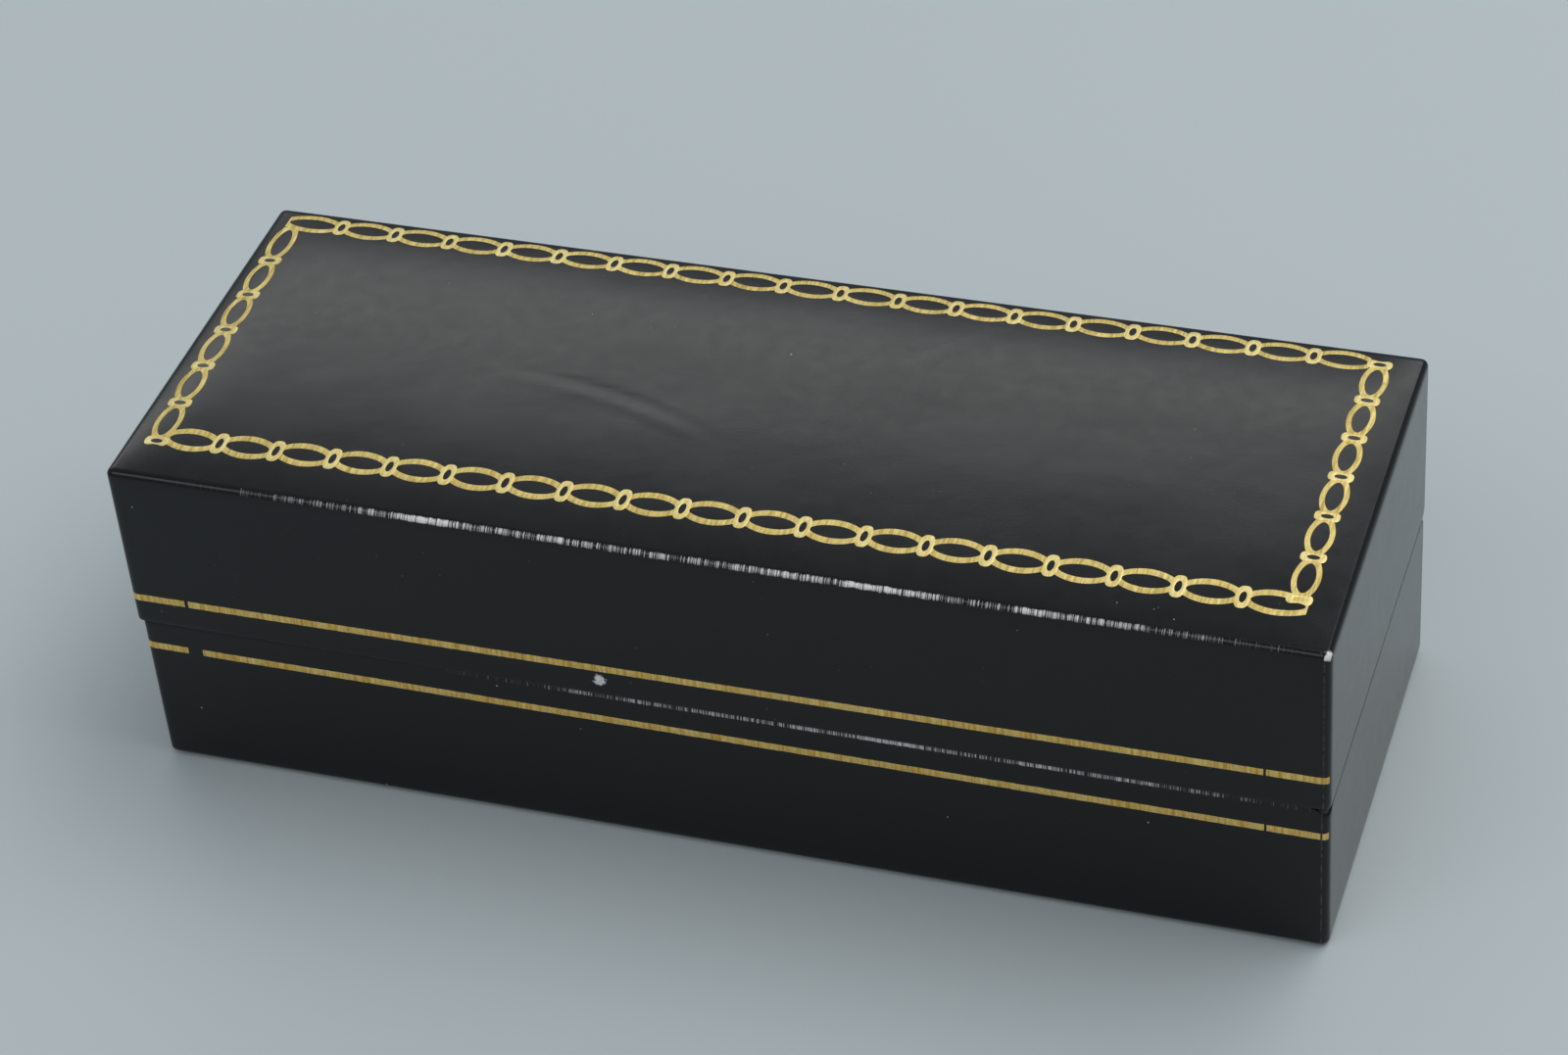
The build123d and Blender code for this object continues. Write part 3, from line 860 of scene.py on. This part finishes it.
def insert_pad():
    """Velvet-covered foam of the base's insert."""
    low, high = INSERT
    material = pile_cloth("black_velvet_insert", (0.0030, 0.0030, 0.0034), (0.014, 0.014, 0.016), 0.7, 2600.0)
    marks = [b[k].x for b in STRAP_BOXES for k in (0, 1)]
    slits = [b[k].y + s * 0.45 * MM for b in STRAP_BOXES[:1] for k in (0, 1) for s in (-1, 0, 1)]
    pad = skin_over("insert_velvet_cover", inset_rect(INSERT), low.z + 0.02 * MM, insert_height(high.z, 0.0),
                    material, "base", "black_velvet", ["insert_velvet"], 1, 0.9 * MM, 0.45 * MM, marks, slits)
    foam = skin_over("insert_foam_block", inset_rect(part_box("insert_foam"), 0.1 * MM), low.z + 0.02 * MM,
                     insert_height(high.z, 0.7 * MM), white_foam("insert"), "base", "white_foam",
                     ["insert_foam"], 1, 1.4 * MM, 0.0, marks, slits)


def band(name, node, path, half_width, thickness, material, slot, along_y, middle, ribs=0):
    """Flat band swept along a path of (run, height) points, closed all round, with fine lengthwise ribs."""
    columns = 4 * max(ribs, 6) + 1
    shares = [-1 + 2 * k / (columns - 1) for k in range(columns)]
    verts = []
    for k, (run, height) in enumerate(path):
        before, after = Vector(path[max(0, k - 1)]), Vector(path[min(len(path) - 1, k + 1)])
        ahead = (after - before).normalized()
        normal = Vector((-ahead.y, ahead.x))
        for side in (1, -1):
            for share in shares if side > 0 else reversed(shares):
                edge = math.sqrt(max(0.0, 1 - abs(share) ** 14))
                rise = 0.5 * thickness * (0.25 + 0.75 * edge)
                if ribs:
                    rise -= 0.07 * thickness * (1 + math.cos(math.pi * share * 2 * ribs))
                point = Vector((run, height)) + normal * (side * rise)
                offset = share * half_width
                if along_y:
                    verts.append((middle + offset, point.x, point.y))
                else:
                    verts.append((point.x, middle - offset, point.y))
    solid_of(name, verts, tube_faces(len(path), 2 * columns), material, "base", slot, [node])


def rounded_path(corners, radius, step=1.05 * MM):
    """Points along straight runs with their corners turned in small arcs."""
    corners = [Vector(c) for c in corners]
    points = [corners[0]]
    for before, corner, after in zip(corners, corners[1:], corners[2:]):
        back, ahead = (before - corner).normalized(), (after - corner).normalized()
        reach = min(radius, 0.45 * (before - corner).length, 0.45 * (after - corner).length)
        start, end = corner + back * reach, corner + ahead * reach
        points += [start.lerp(corner, t).lerp(corner.lerp(end, t), t) for t in (0, 0.2, 0.4, 0.6, 0.8, 1.0)]
    points.append(corners[-1])
    filled = [points[0]]
    for a, b in zip(points, points[1:]):
        count = max(1, math.ceil((b - a).length / step))
        filled += [a.lerp(b, (k + 1) / count) for k in range(count)]
    return [(p.x, p.y) for p in filled]


def straps():
    """Elastic bands over the velvet, their ends drawn down into the slits."""
    material = woven_cloth("black_elastic_strap", (0.008, 0.008, 0.009), (0.030, 0.030, 0.033), 0.50, 3000.0,
                           0.3, 0.45)
    for side, (low, high) in zip(("left", "right"), STRAP_BOXES):
        z = high.z - 0.42 * MM
        ends = [(low.y + 0.3 * MM, low.z + 0.2 * MM), (low.y + 0.3 * MM, z - 0.25 * MM),
                (low.y + 3 * MM, z), (high.y - 3 * MM, z),
                (high.y - 0.3 * MM, z - 0.25 * MM), (high.y - 0.3 * MM, low.z + 0.2 * MM)]
        half = (high.x - low.x) / 2
        band("strap_elastic_" + side, "insert_strap_" + side, rounded_path(ends, 1.0 * MM), half - 0.1 * MM,
             0.55 * MM, material, "black_elastic", True, low.x + half, ribs=9)


def ribbon_tab():
    """Ribbon pull folded over the right end of the insert."""
    material = woven_cloth("black_ribbon_pull", (0.010, 0.010, 0.011), (0.034, 0.034, 0.037), 0.32, 4200.0,
                           0.4, 0.5)
    low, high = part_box("insert_ribbon_tab")
    top, end = high.z - 0.22 * MM, high.x - 0.2 * MM
    corners = [(low.x + 0.1 * MM, top + 0.02 * MM), (low.x + 4 * MM, top - 0.05 * MM),
               (end - 2 * MM, top - 0.1 * MM), (end, top - 1.9 * MM), (end, low.z + 0.2 * MM)]
    half = (high.y - low.y) / 2
    band("ribbon_pull", "insert_ribbon_tab", rounded_path(corners, 1.4 * MM), half - 0.05 * MM, 0.34 * MM,
         material, "black_ribbon", False, 0.0)


def satin_height(drop):
    """Face of the lid's pad: puffed, drawn in at its edges, with soft gathers that die out inwards."""
    x0, x1, y0, y1 = inset_rect(PAD)

    def height(x, y, d):
        r = 4.2 * MM
        z = PAD[0].z + 0.55 * MM * (abs(x / x1) ** 4 + abs(y / y1) ** 4)
        if d < r:
            z += 0.72 * (r - math.sqrt(max(0.0, r * r - (r - d) ** 2)))
        dx, dy = min(x - x0, x1 - x), min(y - y0, y1 - y)
        along = x if dy < dx else y
        seam_fade = smooth_step(abs(dx - dy) / (5 * MM)) if min(dx, dy) < 12 * MM else 1.0
        side = 5.0 if dx < dy else 8.0
        gathers = abs(wobble(along, 0.35 * d, 0, 2.4 * MM, side)) * bell(d, 7 * MM)
        folds = abs(wobble(along, 0.3 * d, 0, 5.5 * MM, side + 1)) * bell(d, 17 * MM)
        ruffle = (1.5 * gathers + 2.2 * folds - 0.4) * MM * seam_fade
        z += ruffle * smooth_step(d / (1.2 * MM)) * bell(d, 17 * MM)
        z += 0.35 * MM * wobble(x, 1.8 * y, 0, 12 * MM, 6.4) * smooth_step(d / (5 * MM))
        z += 0.10 * MM * wobble(x, y, 0, 4.5 * MM, 3.3) * smooth_step(d / (3 * MM))
        return max(PAD[0].z + 0.02 * MM, z) + drop

    return height


def satin_pad():
    """Puffed satin over foam, inside the lid."""
    material = satin_cloth("cream_satin_pad", (0.84, 0.70, 0.46), (0.97, 0.87, 0.66))
    top = PAD[1].z - 0.02 * MM
    pad = skin_over("lid_satin_cover", inset_rect(PAD), top, satin_height(0.0), material, "lid",
                    "cream_satin", ["lid_pad_satin"], -1, 0.6 * MM, 0.25 * MM)
    foam = skin_over("lid_pad_foam_block", inset_rect(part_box("lid_pad_foam"), 0.1 * MM), top,
                     satin_height(0.6 * MM), white_foam("pad"), "lid", "white_foam", ["lid_pad_foam"], -1,
                     1.5 * MM, 0.0)


def lid_padding(wrap):
    """Foam sheet that crowns the lid's top, under the paper."""
    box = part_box("lid_foam")

    def height(x, y, d):
        return SEAM + wrap.face_height(x - wrap.cx, y - wrap.cy) - PAPER - 0.05 * MM

    foam = skin_over("lid_top_foam", inset_rect(box, 0.5 * MM), box[0].z + 0.01 * MM, height,
                     white_foam("top"), "lid", "white_foam", ["lid_foam"], 1, 2.5 * MM, 0.0)


# ------------ linings

def lining_panel(node, body, material, rim_up, notched):
    """Cloth-faced card strip on a wall, its rim edge rounded, notched round the hinges on the back wall."""
    low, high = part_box(node)
    along = 0 if high.x - low.x > high.y - low.y else 1
    across = 1 - along
    half = (high[across] - low[across]) / 2
    middle = (high[across] + low[across]) / 2
    rim, foot = (high.z, low.z) if rim_up else (low.z, high.z)
    inward = 1 if rim_up else -1
    notch = LEAF_END + HINGE_ROOM - abs(SEAM - rim)
    marks = [low[along], high[along]]
    if notched:
        marks += [m + s * 0.02 * MM for m in pocket_marks() for s in (-1, 1)]
    stops = ruled(marks, 1.3 * MM)
    section = []
    for turn in range(0, 181, 20):
        a = math.radians(turn)
        section.append((-half * math.cos(a), half * (1 - math.sin(a))))
    verts = []
    for s in stops:
        cut = notch if notched and any(abs(s - c) < POCKET_HALF for c in HINGE_XS) else 0.0
        top = rim - inward * (cut + 0.06 * MM * (1 + wobble(s, middle, 0, 9 * MM, 7.0)))
        points = [(-half, foot)] + [(o, top - inward * d) for o, d in section] + [(half, foot)]
        body_depth = abs(top - foot)
        points[1:1] = [(-half, foot + (top - foot) * t) for t in (0.33, 0.66)]
        points[-1:-1] = [(half, foot + (top - foot) * t) for t in (0.66, 0.33)]
        for o, z in points:
            give = 0.05 * MM * wobble(s, o, z, 11 * MM, 3.0) * min(1.0, abs(z - foot) / body_depth)
            place = [0.0, 0.0, z]
            place[along] = s
            place[across] = middle + o + give
            verts.append(tuple(place))
    solid_of(node + "_cloth", verts, tube_faces(len(stops), len(points)), material, body, "black_flock",
             [node])


def linings():
    """The eight lining strips."""
    flock = pile_cloth("black_flock_lining", (0.0030, 0.0030, 0.0034), (0.0085, 0.0085, 0.0095), 0.25, 3200.0)
    for half, rim_up in (("base", True), ("lid", False)):
        for wall in ("front", "back", "left", "right"):
            lining_panel(f"{half}_lining_{wall}", half, flock, rim_up, wall == "back")


# ------------ hinges and other model pieces

def springs(material):
    """Bowed leaf springs that snap the lid open and shut; each bends from the base's leaf to the lid's."""
    rows, columns = 29, 9
    for side in ("left", "right"):
        low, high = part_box("hinge_spring_" + side)
        reach = (high.z - low.z) / 2 - 0.05 * MM
        half = (high.x - low.x) / 2 - 0.05 * MM
        verts = []
        for k in range(rows):
            t = -1 + 2 * k / (rows - 1)
            bow = (low.y + 0.15 * MM) + (high.y - low.y - 0.3 * MM) * t ** 2
            narrow = half * (1 - 0.22 * bell(abs(abs(t) - 0.55), 0.4))
            for face in (1, -1):
                for c in range(columns) if face > 0 else reversed(range(columns)):
                    share = -1 + 2 * c / (columns - 1)
                    edge = 0.35 + 0.65 * math.sqrt(1 - abs(share) ** 8)
                    verts.append(((low.x + high.x) / 2 + share * narrow, bow + face * 0.12 * MM * edge,
                                  SEAM + reach * t))
        piece = solid_of("spring_strip_" + side, verts, tube_faces(rows, 2 * columns), material, None,
                         "spring_steel", ["hinge_spring_" + side])
        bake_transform(piece)


def finish_nodes(material, *names):
    """Gives model nodes that keep their shape a finish, and smooth shading over their round faces."""
    for name in names:
        node = frame["nodes"][name]
        node.data.materials.clear()
        node.data.materials.append(material)
        finish_mesh(node.data, 35.0)


def model_nodes():
    """Finishes of the model's nodes that keep their shape, and the springs."""
    finish_nodes(moulded("black_styrene_shell", (0.012, 0.012, 0.013), 0.42), "base_shell", "lid_shell")
    finish_nodes(moulded("grey_card_board", (0.23, 0.22, 0.20), 0.85), "insert_board", "lid_pad_board")
    flock = pile_cloth("black_flock_underside", (0.004, 0.004, 0.0045), (0.012, 0.012, 0.013), 0.2)
    finish_nodes(flock, "base_underside")
    leaves = [f"hinge_{half}_leaf_{side}" for half in ("base", "lid") for side in ("left", "right")]
    finish_nodes(sheet_metal("nickel_steel_leaf", (0.62, 0.60, 0.56), 0.28), *leaves)
    pins = sheet_metal("nickel_steel_pin", (0.55, 0.53, 0.50), 0.22)
    finish_nodes(pins, "hinge_pins_left", "hinge_pins_right", "hinge_rivets_base", "hinge_rivets_lid")
    springs(sheet_metal("spring_steel_strip", (0.42, 0.43, 0.45), 0.30))


# ------------ stage

def camera():
    """The photo's view, with its slight roll."""
    data = bpy.data.cameras.new("camera")
    data.lens, data.sensor_width = 100.3, 36.0
    data.clip_start, data.clip_end = 0.01, 20.0
    eye = Vector((151.7, -390.7, 375.2)) * MM
    aim = Vector((-1.5, 6.2, 23.65)) * MM
    forward = (aim - eye).normalized()
    level = forward.cross(Vector((0, 0, 1))).normalized()
    roll = math.radians(-5.4)
    right = level * math.cos(roll) + level.cross(forward) * math.sin(roll)
    up = right.cross(forward)
    view = bpy.data.objects.new("camera", data)
    bpy.context.scene.collection.objects.link(view)
    turn = Matrix((right, up, -forward)).transposed()
    view.matrix_world = Matrix.Translation(eye) @ turn.to_4x4()
    bpy.context.scene.camera = view


def soft_light(name, direction, distance, size, radiance, tilt=0.0):
    """Rectangular soft light that faces the middle of the box. size is its width and height in metres, and
    tilt how many degrees its left end is raised."""
    data = bpy.data.lights.new(name, "AREA")
    data.shape = "RECTANGLE"
    data.size, data.size_y = size
    data.energy = radiance * math.pi * size[0] * size[1]
    data.color = (1.0, 0.99, 0.98)
    lamp = bpy.data.objects.new(name, data)
    bpy.context.scene.collection.objects.link(lamp)
    ray = Vector(direction).normalized()
    lamp.location = Vector((0, 0, SEAM)) + ray * distance
    lamp.rotation_mode = "QUATERNION"
    lamp.rotation_quaternion = ray.to_track_quat("Z", "Y") @ Quaternion((0, 0, 1), math.radians(tilt))
    lamp.visible_camera = False


def stage():
    """Pale floor, dim surroundings and three soft lights."""
    scene = bpy.context.scene
    scene.view_settings.view_transform = "Standard"
    scene.world = bpy.data.worlds.new("studio")
    scene.world.use_nodes = True
    back = scene.world.node_tree.nodes["Background"]
    back.inputs["Color"].default_value = (0.29, 0.33, 0.36, 1)
    reach = 3.0
    steps = 24
    ring = [(reach * math.cos(2 * math.pi * k / steps), reach * math.sin(2 * math.pi * k / steps), 0.0)
            for k in range(steps)]
    mesh = bpy.data.meshes.new("floor")
    mesh.from_pydata(ring, [], [tuple(range(steps))])
    floor = bpy.data.objects.new("floor", mesh)
    scene.collection.objects.link(floor)
    floor.data.materials.append(floor_paint())
    soft_light("back_softbox", (-0.288, 0.751, 0.588), 2.5, (3.1, 0.26), 2.5, -9.0)
    soft_light("key_above", (0.42, 0.28, 1.0), 1.6, (1.5, 1.0), 3.0)
    soft_light("front_fill", (-0.35, -0.85, 0.95), 1.8, (1.5, 0.8), 1.5)


# ------------ whole object

lid_wrap = lid_cover()
base_wrap = base_cover()
gold_border(lid_wrap)
gold_line("lid_line_foil", "lid_gold_line", "lid", lid_wrap, (SEAM + 4.1 * MM, SEAM + 4.8 * MM),
          [(-68.8 * MM, -68.3 * MM), (68.1 * MM, 68.4 * MM)])
gold_line("base_line_foil", "base_gold_line", "base", base_wrap, (SEAM - 4.0 * MM, SEAM - 4.4 * MM),
          [(-69.8 * MM, -67.8 * MM), (68.1 * MM, 68.4 * MM), (74.8 * MM, 75.0 * MM)])
lid_padding(lid_wrap)
insert_pad()
straps()
ribbon_tab()
satin_pad()
linings()
model_nodes()
stage()
camera()
